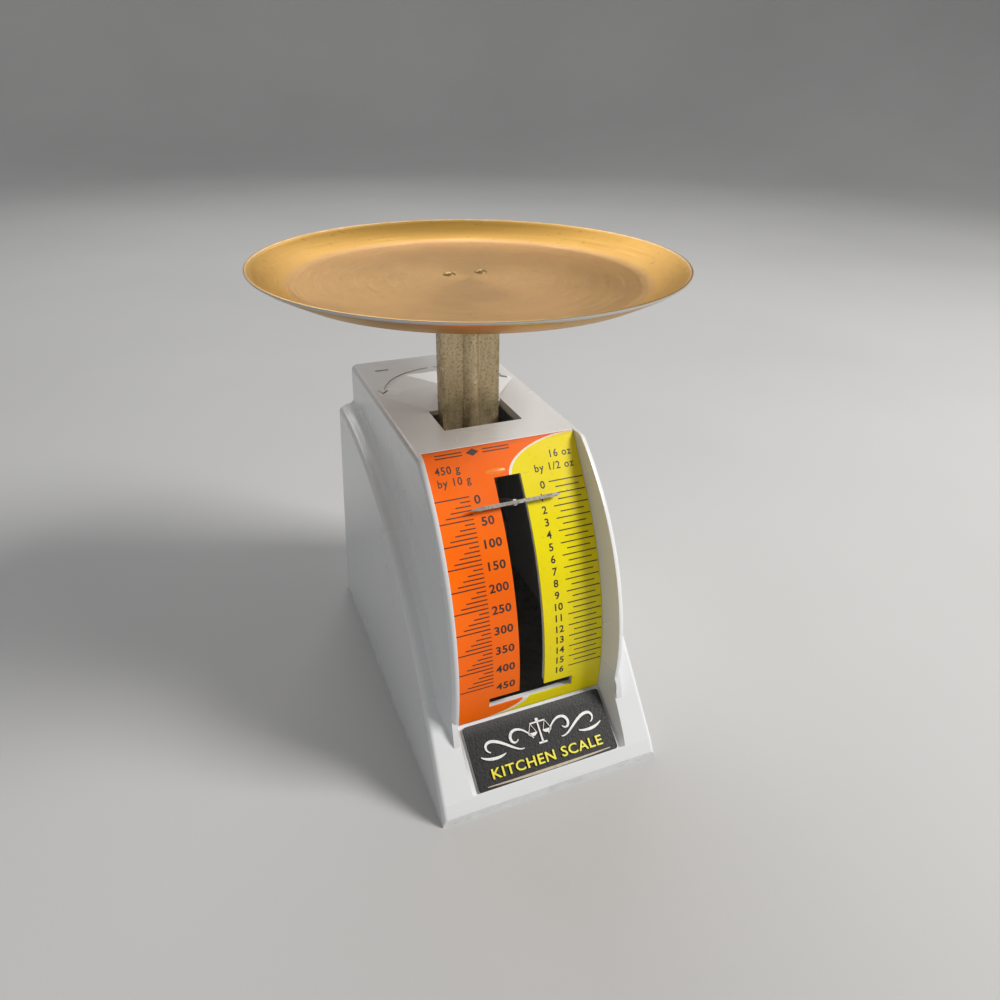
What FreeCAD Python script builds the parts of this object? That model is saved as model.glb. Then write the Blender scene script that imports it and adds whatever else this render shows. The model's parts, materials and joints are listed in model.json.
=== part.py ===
"""Small spring weighing scale: moulded housing, curved dial, round pan on a plated column.

Frame: X to the right, Y to the back, Z up, millimetres. The origin is the middle of the
rectangle that the housing stands on. The side view (Y, Z) carries most of the design:
a main lever and a check link of equal length turn on two fixed pivots, one above the other,
and carry the column, so that the pan stays level while the lever's pointer sweeps the dial.
"""
import FreeCAD
import Part
import os
from math import sin, cos, tan, radians, degrees, sqrt, atan2, pi
from FreeCAD import Vector

# ---------------------------------------------------------------- driving dimensions
# housing
BASE_LENGTH = 129.5
BASE_HALF_WIDTH = 36.5
SKIRT_DRAFT = 0.047
BODY_TOP = 98.7
BODY_HALF_WIDTH_TOP = 26.7
BODY_DRAFT = 0.0267
WALL = 2.2
CORNER_RADIUS = BASE_LENGTH / 2 - 62.0
EDGE_RADIUS = 1.6
COVE_RADIUS = 3.5
STEP_ARC_CENTRE = (62.0, -52.0)
STEP_ARC_RADIUS = 135.0
STEP_ARC_END_Y = -45.4
COVE_END_RADIUS = 25.0
FIN_ARC_CENTRE = (25.45, 36.0)
FIN_ARC_RADIUS = 77.7
FIN_INNER_HALF_WIDTH_TOP = 24.65
FIN_CORNER_RADIUS = 4.0
FLARE_FOOT_Z = 24.0
FLARE_BREAK_Z = 80.0
FOOT_BOTTOM = (-62.85, 6.3)
RIM_HEIGHT = 2.6

# mechanism, side view (Y, Z)
LEVER_PIVOT = (48.75, 28.0)
LINK_RISE = 34.0
COLUMN_ARM = 45.0
REST_ANGLE = 36.0
TRAVEL_DEG = (-3.6, 34.8)
ARM_X = (6.6, 7.8)
ARM_HALF_HEIGHT = 3.5
LINK_HALF_HEIGHT = 2.6
HUB_HALF_LENGTH = 10.7
LEVER_HUB_RADIUS = 3.2
LINK_HUB_RADIUS = 2.4
SPRING_PIN_RADIUS = 1.2
CHEEK_X = (11.0, 12.5)
PIVOT_PIN_RADIUS = 2.0
THIN_PIN_RADIUS = 1.5
RUNNING_GAP = 0.05
OPEN_PIVOT_GAP = 0.25
PIN_HALF_LENGTH = 14.2
LEVER_WEB = (ARM_HALF_HEIGHT - 1.2, ARM_HALF_HEIGHT)
POINTER_TAB = (38.6, 45.8)
POINTER_RIVET_REACH = 42.2
POINTER_RIVET_X = (-2.9, 2.9)

# dial
DIAL_RADIUS = 94.5
DIAL_PLATE = 0.5
DIAL_HALF_WIDTH = 24.3
DIAL_ARC_TOP = 36.0
DIAL_FOOT_ANGLE = -5.85
SLOT_HALF_WIDTH = 4.25
SLOT_ANGLES = (-1.3, 41.1)
CROSS_SLOT_HALF_WIDTH = 14.3
CROSS_SLOT_Z = (22.5, 26.4)
POINTER_RADIUS = 96.6
POINTER_HALF_LENGTH = 14.6
NEEDLE_THICKNESS = 0.5
NEEDLE_HALF_HEIGHT = 0.55

# name plate, outer surface in the side view
PLATE_TOP = (-46.6, 18.3)
PLATE_BOTTOM = (-62.5, 6.8)
PLATE_THICKNESS = 1.3
PLATE_HALF_WIDTH = 23.6

# column and pan
COLUMN_FRONT = 7.75
COLUMN_HALF_WIDTH = 9.57
COLUMN_SHEET = 1.0
COLUMN_DEPTH = 5.0
BEAD_RADIUS = 2.9
PAN_CENTRE_Y = 7.5
PAN_RADIUS = 63.5
PAN_FLOOR_RADIUS = 51.0
PAN_RIM_Z = 147.0
PAN_FLOOR_Z = 141.4
PAN_SHEET = 0.8
PAN_RIVETS = ((5.0, 12.4),)
PAN_RIVET_RADIUS = 1.2

# opening for the column and zero adjuster in the top
OPENING_HALF_WIDTH = 12.96
OPENING_Y = (-3.75, 14.95)
DISH_FLOOR_Z = 97.4
CAVITY_TOP = 95.8
ADJUSTER_Y = 24.0
HOOK_BAR_Z = 72.0
HOOK_NUT_Z = (81.5, 87.0)
ADJUSTER_HEAD_Z = (DISH_FLOOR_Z + 0.2, DISH_FLOOR_Z + 3.0)
ADJUSTER_TIP_Z = 79.0
ADJUSTER_RADIUS = 2.0
ADJUSTER_HEAD_RADIUS = 3.5
BOSS_DEPTH = 3.3
CLIP_THICKNESS = 0.8

# spring
SPRING_RADII = (2.1, 2.9)
SPRING_LOOP = 5.0

# bottom cover
COVER_Z = (1.5, 3.5)
COVER_GAP = 0.3
COVER_FRONT_Y = -61.1
POST_RADIUS = 3.6
POST_TOP_Z = 24.0
PILOT_RADIUS = 1.2
PILOT_TOP_Z = 16.0
SCREW_HEAD_RADIUS = 2.7
COVER_SCREWS = ((30.3, -36.0), (30.3, 54.0))
FRAME_SCREWS = ((7.5, 40.0), (7.5, 55.5))
BRACKET_FLOOR_Z = (COVER_Z[1], COVER_Z[1] + 1.5)
NUT_RADIUS = 3.15
NUT_HEIGHT = 2.0

FAR = 200.0


# ---------------------------------------------------------------- helpers
def side_point(y, z, x=0.0):
    return Vector(x, y, z)


def line(a, b, x=0.0):
    return Part.LineSegment(side_point(*a, x), side_point(*b, x)).toShape()


def arc_between(a, b, centre, x=0.0):
    """Arc in a side-view plane from a to b round the centre, the short way."""
    start = Vector(0, a[0] - centre[0], a[1] - centre[1])
    end = Vector(0, b[0] - centre[0], b[1] - centre[1])
    middle = (start + end).normalize() * start.Length
    via = (centre[0] + middle.y, centre[1] + middle.z)
    return Part.Arc(side_point(*a, x), side_point(*via, x), side_point(*b, x)).toShape()


def outline(points, arcs=None, x=0.0):
    """Closed side-view wire through the points; arcs maps a side's index to its centre."""
    arcs = arcs or {}
    edges = []
    for i, a in enumerate(points):
        b = points[(i + 1) % len(points)]
        if i in arcs:
            edges.append(arc_between(a, b, arcs[i], x))
        else:
            edges.append(line(a, b, x))
    return Part.Wire(edges)


def slab(points, half_width, arcs=None, x_mid=0.0):
    """Side-view outline, thickened equally to both sides of x_mid."""
    face = Part.Face(outline(points, arcs, x_mid - half_width))
    return face.extrude(Vector(2 * half_width, 0, 0))


def box(x_range, y_range, z_range):
    size = [r[1] - r[0] for r in (x_range, y_range, z_range)]
    return Part.makeBox(*size, Vector(x_range[0], y_range[0], z_range[0]))


def cylinder_x(radius, x_range, y, z):
    return Part.makeCylinder(radius, x_range[1] - x_range[0], Vector(x_range[0], y, z), Vector(1, 0, 0))


def cylinder_z(radius, z_range, x=0.0, y=0.0):
    return Part.makeCylinder(radius, z_range[1] - z_range[0], Vector(x, y, z_range[0]))


def mirrored(shape):
    return shape.mirror(Vector(0, 0, 0), Vector(1, 0, 0))


def on_circle(centre, radius, angle):
    """Side-view point at an angle above the horizontal, on the front (-Y) side of a centre."""
    return (centre[0] - radius * cos(radians(angle)), centre[1] + radius * sin(radians(angle)))


def along_lever(s, n, angle=REST_ANGLE):
    """Side-view point s along the lever from its pivot, n above the lever's centre line."""
    c, d = cos(radians(angle)), sin(radians(angle))
    return (LEVER_PIVOT[0] - s * c + n * d, LEVER_PIVOT[1] + s * d + n * c)


def edges_where(shape, test):
    return [e for e in shape.Edges if test(e)]


def export(name, shape):
    shape.exportStep("parts/" + name + ".step")


# ---------------------------------------------------------------- housing
def drafted(side_face_points, arcs, half_width_at_floor, draft):
    """Side-view outline as a solid whose two sides lean inwards by the draft."""
    blank = slab(side_face_points, FAR / 2, arcs)
    top = BODY_TOP + 20
    top_half = half_width_at_floor - draft * top
    low = -20.0
    low_half = half_width_at_floor - draft * low
    front_view = Part.makePolygon([
        Vector(-low_half, -FAR, low), Vector(low_half, -FAR, low),
        Vector(top_half, -FAR, top), Vector(-top_half, -FAR, top), Vector(-low_half, -FAR, low)])
    wedge = Part.Face(front_view).extrude(Vector(0, 2 * FAR, 0))
    return blank.common(wedge)


def fin_half_width(z):
    return BODY_HALF_WIDTH_TOP + BODY_DRAFT * (BODY_TOP - z)


def upper_body(inset=0.0):
    """Tall narrow part: flat top, flat back, rounded front that becomes the two fins."""
    back = BASE_LENGTH / 2 - inset
    top = BODY_TOP - inset
    radius = FIN_ARC_RADIUS - inset
    low_z = 12.0 if inset == 0 else 0.0
    top_front = (FIN_ARC_CENTRE[0] - sqrt(radius ** 2 - (top - FIN_ARC_CENTRE[1]) ** 2), top)
    low_front = (FIN_ARC_CENTRE[0] - sqrt(radius ** 2 - (low_z - FIN_ARC_CENTRE[1]) ** 2), low_z)
    points = [(back, 0.0), (back, top), top_front, low_front, (low_front[0] + 10, 0.0)]
    half = fin_half_width(0.0) - inset
    body = drafted(points, {2: FIN_ARC_CENTRE}, half, BODY_DRAFT)
    if inset == 0:
        def is_back_corner(e):
            return e.Length > 60 and all(abs(v.Y - back) < 0.01 for v in e.Vertexes)
        body = body.makeFillet(CORNER_RADIUS, edges_where(body, is_back_corner))

        def is_fin_corner(e):
            return e.Length > 40 and all(abs(v.Y - top_front[0]) < 0.01 and abs(v.Z - top) < 0.01
                                         for v in e.Vertexes)
        body = body.makeFillet(FIN_CORNER_RADIUS, edges_where(body, is_fin_corner))

        def is_top_edge(e):
            return all(abs(v.Z - top) < 0.01 for v in e.Vertexes) and abs(e.BoundBox.YLength) + abs(
                e.BoundBox.XLength) > 2 and not all(abs(v.Y - e.Vertexes[0].Y) < 0.01 and v.Y < 0
                                                    for v in e.Vertexes)
        body = body.makeFillet(EDGE_RADIUS, edges_where(body, is_top_edge))
    return body


def step_z(y):
    """Height of the step between the wide and the narrow part."""
    return STEP_ARC_CENTRE[1] + sqrt(STEP_ARC_RADIUS ** 2 - (y - STEP_ARC_CENTRE[0]) ** 2)


def lower_body(inset=0.0):
    """Wide part: a step that falls forwards in an arc, then the sloping foot and its rim."""
    back = BASE_LENGTH / 2 - inset
    radius = STEP_ARC_RADIUS - inset
    back_top = (back, STEP_ARC_CENTRE[1] + sqrt(radius ** 2 - (back - STEP_ARC_CENTRE[0]) ** 2))
    share = radius / STEP_ARC_RADIUS
    joint = (STEP_ARC_CENTRE[0] + share * (STEP_ARC_END_Y - STEP_ARC_CENTRE[0]),
             STEP_ARC_CENTRE[1] + share * (step_z(STEP_ARC_END_Y) - STEP_ARC_CENTRE[1]))
    front = -BASE_LENGTH / 2 + inset
    if inset:
        toe = [(front, COVER_Z[1] + 0.5), (front, 0.0)]
    else:
        toe = [FOOT_BOTTOM, (front, RIM_HEIGHT), (front, 0.0)]
    points = [(back, 0.0), back_top, joint] + toe
    return drafted(points, {1: STEP_ARC_CENTRE}, BASE_HALF_WIDTH - inset, SKIRT_DRAFT)


def cove_section(centre, radius):
    """Section of the hollow fillet at the highest point of a step of this radius."""
    sink = 0.08
    inner = fin_half_width(centre[1] + radius) - sink
    mid_x = inner + COVE_RADIUS
    mid_r = radius + COVE_RADIUS - sink
    bury_x = inner - 0.7 * CORNER_RADIUS
    bury_r = radius - 1.5

    def at(x, r):
        return Vector(x, centre[0], centre[1] + r)

    low = at(mid_x, mid_r - COVE_RADIUS)
    high = at(inner, mid_r)
    via = at(mid_x - COVE_RADIUS * sin(pi / 4), mid_r - COVE_RADIUS * cos(pi / 4))
    corners = [high, at(bury_x, mid_r), at(bury_x, bury_r), at(mid_x, bury_r), low]
    edges = [Part.Arc(low, via, high).toShape()]
    edges += [Part.LineSegment(a, b).toShape() for a, b in zip(corners, corners[1:])]
    return Part.Face(Part.Wire(edges))


def leaning(solid, z_level):
    """The solid sheared so that its inner side follows the narrow part's leaning wall."""
    return solid.transformGeometry(FreeCAD.Matrix(
        1, 0, -BODY_DRAFT, BODY_DRAFT * z_level, 0, 1, 0, 0, 0, 0, 1, 0, 0, 0, 0, 1))


def cove(centre, radius, turn):
    """Hollow fillet beside the narrow part, standing on a step of this radius."""
    section = cove_section(centre, radius)
    axis = side_point(*centre)
    section.rotate(axis, Vector(1, 0, 0), turn[0])
    solid = section.revolve(axis, Vector(1, 0, 0), turn[1] - turn[0])
    return leaning(solid, centre[1] + radius)


def cove_corner():
    """The same hollow fillet, turned round the narrow part's upright back corner."""
    level = STEP_ARC_CENTRE[1] + STEP_ARC_RADIUS
    axis = Vector(fin_half_width(level) - CORNER_RADIUS, STEP_ARC_CENTRE[0], 0)
    section = cove_section(STEP_ARC_CENTRE, STEP_ARC_RADIUS)
    return leaning(section.revolve(axis, Vector(0, 0, 1), 88), level)


def housing_outside():
    lower = lower_body()
    back = BASE_LENGTH / 2
    upright = edges_where(lower, lambda e: e.Length > 60 and all(abs(v.Y - back) < 0.01 for v in e.Vertexes)
                          and e.BoundBox.ZLength > 60)
    lower = lower.makeFillet(CORNER_RADIUS, upright)
    side_edges = edges_where(lower, lambda e: abs(e.CenterOfMass.x) > 30 and e.BoundBox.ZMax > 1
                             and e.CenterOfMass.y < back - CORNER_RADIUS)
    lower = lower.makeFillet(EDGE_RADIUS, [e for e in side_edges if e.BoundBox.YLength > 0.01])
    end = degrees(atan2(STEP_ARC_CENTRE[0] - STEP_ARC_END_Y, step_z(STEP_ARC_END_Y) - STEP_ARC_CENTRE[1]))
    shift = STEP_ARC_RADIUS - COVE_END_RADIUS
    end_centre = (STEP_ARC_CENTRE[0] - shift * sin(radians(end)),
                  STEP_ARC_CENTRE[1] + shift * cos(radians(end)))
    coves = cove(STEP_ARC_CENTRE, STEP_ARC_RADIUS, (0, end))
    coves = coves.fuse([cove(end_centre, COVE_END_RADIUS, (end, end + 35)), cove_corner()])
    coves = coves.common(box((0, FAR), (-FAR, BASE_LENGTH / 2), (0, BODY_TOP)))
    return upper_body().fuse([lower, coves, mirrored(coves)]).removeSplitter()


def plate_normal():
    dy, dz = PLATE_TOP[0] - PLATE_BOTTOM[0], PLATE_TOP[1] - PLATE_BOTTOM[1]
    length = sqrt(dy * dy + dz * dz)
    return (-dz / length, dy / length)


def plate_point(point, depth):
    """Point below the name plate's outer surface."""
    n = plate_normal()
    return (point[0] - n[0] * depth, point[1] - n[1] * depth)


def front_curve(depth):
    """Side-view corners of a surface behind the dial: top, arc top, arc foot, plate foot."""
    radius = DIAL_RADIUS - depth
    arc_top = on_circle(LEVER_PIVOT, radius, DIAL_ARC_TOP)
    rise = BODY_TOP + 1 - arc_top[1]
    top = (arc_top[0] + rise * tan(radians(DIAL_ARC_TOP)), BODY_TOP + 1)
    low = plate_point(PLATE_BOTTOM, depth - DIAL_PLATE + PLATE_THICKNESS)
    n = plate_normal()
    u = (n[1], -n[0])
    to_low = (low[0] - LEVER_PIVOT[0], low[1] - LEVER_PIVOT[1])
    b = to_low[0] * u[0] + to_low[1] * u[1]
    c = to_low[0] ** 2 + to_low[1] ** 2 - radius ** 2
    t = -b - sqrt(b * b - c)
    return top, arc_top, (low[0] + t * u[0], low[1] + t * u[1]), low


def front_recess():
    """Space in front of the dial: straight at the dial, opening out towards the fins' edges."""
    top, arc_top, arc_foot, low = front_curve(DIAL_PLATE)
    sill = plate_point(PLATE_BOTTOM, -1.2)
    outside = [sill, (-75.0, 25.0), (-75.0, BODY_TOP + 1)]
    back_wall = [top, arc_top, arc_foot, low] + outside
    middle = slab(back_wall, DIAL_HALF_WIDTH + 0.05, {1: LEVER_PIVOT})

    # the flare runs on past the fins' front faces, so that it cuts them cleanly
    past = 1.5
    radius = FIN_ARC_RADIUS + past
    flare_half_width = FIN_INNER_HALF_WIDTH_TOP + 0.3 * past

    def fin(z):
        y = FIN_ARC_CENTRE[0] - sqrt(radius ** 2 - (z - FIN_ARC_CENTRE[1]) ** 2)
        return Vector(flare_half_width + BODY_DRAFT * (BODY_TOP - z), y, z)

    def lean(point):
        return Vector(flare_half_width + BODY_DRAFT * (BODY_TOP - point[1]), *point)

    upper, break_point, lower = fin(BODY_TOP + 1), fin(FLARE_BREAK_Z), fin(FLARE_FOOT_Z)
    edges = [Part.Arc(upper, fin((FLARE_BREAK_Z + BODY_TOP) / 2), break_point).toShape(),
             Part.Arc(break_point, fin((FLARE_FOOT_Z + FLARE_BREAK_Z) / 2), lower).toShape()]
    corners = [lower, lean((PLATE_BOTTOM[0] - 0.8, PLATE_BOTTOM[1] + 0.6))]
    corners += [lean(p) for p in outside] + [upper]
    edges += [Part.LineSegment(p, q).toShape() for p, q in zip(corners, corners[1:])]
    near = outline(back_wall, {1: LEVER_PIVOT}, DIAL_HALF_WIDTH + 0.05)
    flare = Part.makeLoft([near, Part.Wire(edges)], True, True)
    return middle.fuse([flare, mirrored(flare)])


def front_block(depth, half_width):
    """Everything in front of the surface at this depth behind the dial."""
    top, arc_top, arc_foot, low = front_curve(depth)
    low = (low[0] - 10 * plate_normal()[1], low[1] + 10 * plate_normal()[0])
    corners = [top, arc_top, arc_foot, low, (-90.0, low[1]), (-90.0, BODY_TOP + 1)]
    return slab(corners, half_width, {1: LEVER_PIVOT})


def cavity():
    narrow = upper_body(WALL).common(box((-FAR, FAR), (-FAR, FAR), (-1.0, CAVITY_TOP)))
    wide = lower_body(WALL)
    inside = narrow.fuse(wide)
    return inside.cut(front_block(DIAL_PLATE + 2.0, DIAL_HALF_WIDTH + 2.0))


def slot_cutter(grow):
    """Arc slot for the pointer arm, with a cross slot at its foot for the pointer to enter."""
    low, high = SLOT_ANGLES[0] - grow, SLOT_ANGLES[1] + grow
    near, far = DIAL_RADIUS - 6, DIAL_RADIUS + 4
    corners = [on_circle(LEVER_PIVOT, r, a) for r, a in ((near, low), (far, low), (far, high), (near, high))]
    arc_slot = slab(corners, SLOT_HALF_WIDTH + grow, {1: LEVER_PIVOT, 3: LEVER_PIVOT})
    half = CROSS_SLOT_HALF_WIDTH + grow
    cross = box((-half, half), (-52.0, -40.0), (CROSS_SLOT_Z[0] - grow, CROSS_SLOT_Z[1] + grow))
    return arc_slot.fuse(cross)


def adjuster_dish():
    """Shallow hollow in the top, deepest at the opening's rear edge and round the adjuster."""
    top = BODY_TOP
    front_y, side_y, rear_y, valley_y = OPENING_Y[1], 31.0, 46.5, 36.0
    front_x, side_x, rear_x = OPENING_HALF_WIDTH, 24.6, 11.0
    rim = [Vector(-front_x, front_y, top), Vector(-side_x, side_y, top), Vector(-rear_x, rear_y, top),
           Vector(rear_x, rear_y, top), Vector(side_x, side_y, top), Vector(front_x, front_y, top)]
    low = [Vector(-front_x, front_y, DISH_FLOOR_Z), Vector(0, valley_y, DISH_FLOOR_Z),
           Vector(front_x, front_y, DISH_FLOOR_Z)]
    triangles = [(low[0], low[1], low[2]), (rim[0], rim[1], low[0]), (rim[1], low[1], low[0]),
                 (rim[1], rim[2], low[1]), (rim[2], rim[3], low[1]), (rim[3], rim[4], low[1]),
                 (rim[4], low[2], low[1]), (rim[4], rim[5], low[2])]
    polygons = triangles + [tuple(rim), (rim[5], rim[0], low[0], low[2])]
    faces = [Part.Face(Part.makePolygon(list(p) + [p[0]])) for p in polygons]
    return Part.makeSolid(Part.makeShell(faces))


def make_housing():
    shell = housing_outside().cut(front_recess()).cut(cavity())
    shell = shell.cut(slot_cutter(0.4))
    shell = shell.cut(box((-OPENING_HALF_WIDTH, OPENING_HALF_WIDTH), OPENING_Y, (80.0, BODY_TOP + 5)))
    boss = cylinder_z(5.0, (CAVITY_TOP - BOSS_DEPTH, CAVITY_TOP + 0.5), 0, ADJUSTER_Y)
    shell = shell.fuse(boss).cut(adjuster_dish())
    shell = shell.cut(cylinder_z(ADJUSTER_RADIUS + 0.3, (80.0, BODY_TOP), 0, ADJUSTER_Y))
    posts = []
    pilot_holes = []
    for x, y in COVER_SCREWS:
        for side in (-1, 1):
            posts.append(cylinder_z(POST_RADIUS, (COVER_Z[1], POST_TOP_Z), side * x, y))
            pilot_holes.append(cylinder_z(PILOT_RADIUS, (COVER_Z[1], PILOT_TOP_Z), side * x, y))
    envelope = lower_body(0.8)
    shell = shell.fuse([p.common(envelope) for p in posts]).cut(Part.makeCompound(pilot_holes))
    return shell.removeSplitter()


# ---------------------------------------------------------------- fixed pieces on the housing
def make_dial_plate():
    top, arc_top, _, _ = front_curve(0.0)
    top_in, arc_in, _, _ = front_curve(DIAL_PLATE)

    def trim(outer, inner_end):
        t = (BODY_TOP - 0.2 - inner_end[1]) / (outer[1] - inner_end[1])
        return (inner_end[0] + t * (outer[0] - inner_end[0]), BODY_TOP - 0.2)

    corners = [trim(top, arc_top), arc_top, on_circle(LEVER_PIVOT, DIAL_RADIUS, DIAL_FOOT_ANGLE),
               on_circle(LEVER_PIVOT, DIAL_RADIUS - DIAL_PLATE, DIAL_FOOT_ANGLE), arc_in, trim(top_in, arc_in)]
    plate = slab(corners, DIAL_HALF_WIDTH, {1: LEVER_PIVOT, 3: LEVER_PIVOT})
    return plate.cut(slot_cutter(0.0))


def make_name_plate():
    corners = [plate_point(PLATE_TOP, 0), plate_point(PLATE_BOTTOM, 0),
               plate_point(PLATE_BOTTOM, PLATE_THICKNESS), plate_point(PLATE_TOP, PLATE_THICKNESS)]
    plate = slab(corners, PLATE_HALF_WIDTH)

    def is_corner(e):
        return abs(e.Length - PLATE_THICKNESS) < 0.01
    return plate.makeFillet(1.0, edges_where(plate, is_corner))


def both_sides(positions):
    return [(side * x, y) for x, y in positions for side in (-1, 1)]


def make_base_cover():
    half = BASE_HALF_WIDTH - SKIRT_DRAFT * COVER_Z[1] - WALL - COVER_GAP
    back = BASE_LENGTH / 2 - WALL - COVER_GAP
    cover = box((-half, half), (COVER_FRONT_Y, back), COVER_Z)
    upright = edges_where(cover, lambda e: abs(e.Length - (COVER_Z[1] - COVER_Z[0])) < 0.01)
    cover = cover.makeFillet(0.8, upright)
    holes = [cylinder_z(1.5, (0, 10), x, y) for x, y in both_sides(COVER_SCREWS + FRAME_SCREWS)]
    return cover.cut(Part.makeCompound(holes))


def pan_head_screw(radius, head_radius, x, y, head_z, tip_z):
    """Screw driven upwards: domed head below, cross recess in the head."""
    shank = cylinder_z(radius, (head_z[1], tip_z), x, y)
    head = cylinder_z(head_radius, head_z, x, y)
    bottom = edges_where(head, lambda e: abs(e.CenterOfMass.z - head_z[0]) < 0.01 and e.Length > 3)
    head = head.makeFillet(0.5, bottom)
    slot = 0.35
    deep = (head_z[0], head_z[0] + 0.6)
    cross = box((x - 1.3, x + 1.3), (y - slot, y + slot), deep)
    cross = cross.fuse(box((x - slot, x + slot), (y - 1.3, y + 1.3), deep))
    return head.cut(cross).fuse(shank)


def make_screws(positions, radius, tip_z):
    heads = (COVER_Z[0] - 1.2, COVER_Z[0])
    return Part.makeCompound([pan_head_screw(radius, SCREW_HEAD_RADIUS, x, y, heads, tip_z)
                              for x, y in both_sides(positions)])


def stop_pins():
    """Side-view centres of the two pins that the lever's arms come to rest near."""
    reach = ARM_HALF_HEIGHT + THIN_PIN_RADIUS + 0.15
    upper = along_lever(11.0, reach, REST_ANGLE - TRAVEL_DEG[0])
    lower = along_lever(11.0, -reach, REST_ANGLE - TRAVEL_DEG[1])
    return upper, lower


def link_pivot():
    return (LEVER_PIVOT[0], LEVER_PIVOT[1] + LINK_RISE)


def make_frame_bracket():
    z0, z1 = BRACKET_FLOOR_Z
    side = [(36.0, z0), (61.0, z0), (61.0, 32.0), (55.0, 67.5), (43.0, 67.5), (39.0, 46.0), (33.5, 30.0),
            (33.5, 18.0)]
    middle = (CHEEK_X[0] + CHEEK_X[1]) / 2
    half = (CHEEK_X[1] - CHEEK_X[0]) / 2
    cheeks = [slab(side, half, None, x) for x in (-middle, middle)]
    floor = box((-CHEEK_X[1], CHEEK_X[1]), (36.0, 61.0), (z0, z1))
    web = box((-CHEEK_X[1], CHEEK_X[1]), (59.5, 61.0), (z0, 32.0))
    bracket = floor.fuse(cheeks + [web])
    upper, lower = stop_pins()
    bores = [(PIVOT_PIN_RADIUS, LEVER_PIVOT), (THIN_PIN_RADIUS, link_pivot()),
             (THIN_PIN_RADIUS, upper), (THIN_PIN_RADIUS, lower)]
    holes = [cylinder_x(r, (-20, 20), *centre) for r, centre in bores]
    holes += [cylinder_z(THIN_PIN_RADIUS, (0, 10), x, y) for x, y in both_sides(FRAME_SCREWS)]
    return bracket.cut(Part.makeCompound(holes)).removeSplitter()


def make_frame_nuts():
    nuts = []
    for x, y in both_sides(FRAME_SCREWS):
        corners = [Vector(x + NUT_RADIUS * sin(pi * k / 3), y + NUT_RADIUS * cos(pi * k / 3), BRACKET_FLOOR_Z[1])
                   for k in range(7)]
        nut = Part.Face(Part.makePolygon(corners)).extrude(Vector(0, 0, NUT_HEIGHT))
        nuts.append(nut.cut(cylinder_z(THIN_PIN_RADIUS, (0, 20), x, y)))
    return Part.makeCompound(nuts)


def ring_x(outer, inner, x_range, centre):
    return cylinder_x(outer, x_range, *centre).cut(cylinder_x(inner, (-30, 30), *centre))


def both_ends(outer, inner, x_range, centre):
    right = ring_x(outer, inner, x_range, centre)
    return [right, mirrored(right)]


def make_pivot_pin(radius, centre):
    pin = cylinder_x(radius, (-PIN_HALF_LENGTH, PIN_HALF_LENGTH), *centre)
    return pin.makeChamfer(0.3, edges_where(pin, lambda e: e.Length > 5 and abs(e.CenterOfMass.x) > 1))


def make_pivot_clips():
    rings = both_ends(3.6, PIVOT_PIN_RADIUS, (CHEEK_X[1], CHEEK_X[1] + CLIP_THICKNESS), LEVER_PIVOT)
    rings += both_ends(2.9, THIN_PIN_RADIUS, (CHEEK_X[1], CHEEK_X[1] + CLIP_THICKNESS), link_pivot())
    return Part.makeCompound(rings)


def make_stop_pins():
    return Part.makeCompound([cylinder_x(THIN_PIN_RADIUS, (-13.2, 13.2), *p) for p in stop_pins()])


# ---------------------------------------------------------------- main lever
def spring_arm():
    """Distance along the lever at which the spring hangs straight down from the adjuster."""
    return (LEVER_PIVOT[0] - ADJUSTER_Y) / cos(radians(REST_ANGLE))


def strip(pivot, length, half_height, x_range):
    """Flat arm with round ends, from a pivot forwards and up at the rest angle."""
    c, d = cos(radians(REST_ANGLE)), sin(radians(REST_ANGLE))

    def at(s, n):
        return (pivot[0] - s * c + n * d, pivot[1] + s * d + n * c)

    corners = [at(0, half_height), at(length, half_height), at(length, -half_height), at(0, -half_height)]
    middle = (x_range[0] + x_range[1]) / 2
    half = (x_range[1] - x_range[0]) / 2
    arm = slab(corners, half, None, middle)
    ends = [cylinder_x(half_height, x_range, *at(s, 0)) for s in (0, length)]
    return arm.fuse(ends).removeSplitter()


def web(pivot, s_range, n_range, half_width):
    c, d = cos(radians(REST_ANGLE)), sin(radians(REST_ANGLE))
    corners = []
    for s, n in ((s_range[0], n_range[0]), (s_range[1], n_range[0]), (s_range[1], n_range[1]),
                 (s_range[0], n_range[1])):
        corners.append((pivot[0] - s * c + n * d, pivot[1] + s * d + n * c))
    return slab(corners, half_width)


def twin_arms(pivot, half_height, webs):
    """Two parallel arms joined by cross webs, like a channel with windows."""
    arm = strip(pivot, COLUMN_ARM, half_height, ARM_X)
    pieces = [mirrored(arm)] + [web(pivot, s, n, ARM_X[0] + 0.2) for s, n in webs]
    return arm.fuse(pieces).removeSplitter()


def make_lever():
    lever = twin_arms(LEVER_PIVOT, ARM_HALF_HEIGHT, [((5.0, 22.0), LEVER_WEB), ((38.0, 46.0), LEVER_WEB)])
    bores = [(LEVER_HUB_RADIUS, LEVER_PIVOT), (THIN_PIN_RADIUS, along_lever(COLUMN_ARM, 0)),
             (SPRING_PIN_RADIUS, along_lever(spring_arm(), 0))]
    return lever.cut(Part.makeCompound([cylinder_x(r, (-20, 20), *p) for r, p in bores]))


def make_hub(outer, pin_radius, centre):
    return ring_x(outer, pin_radius + RUNNING_GAP, (-HUB_HALF_LENGTH, HUB_HALF_LENGTH), centre)


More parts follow.
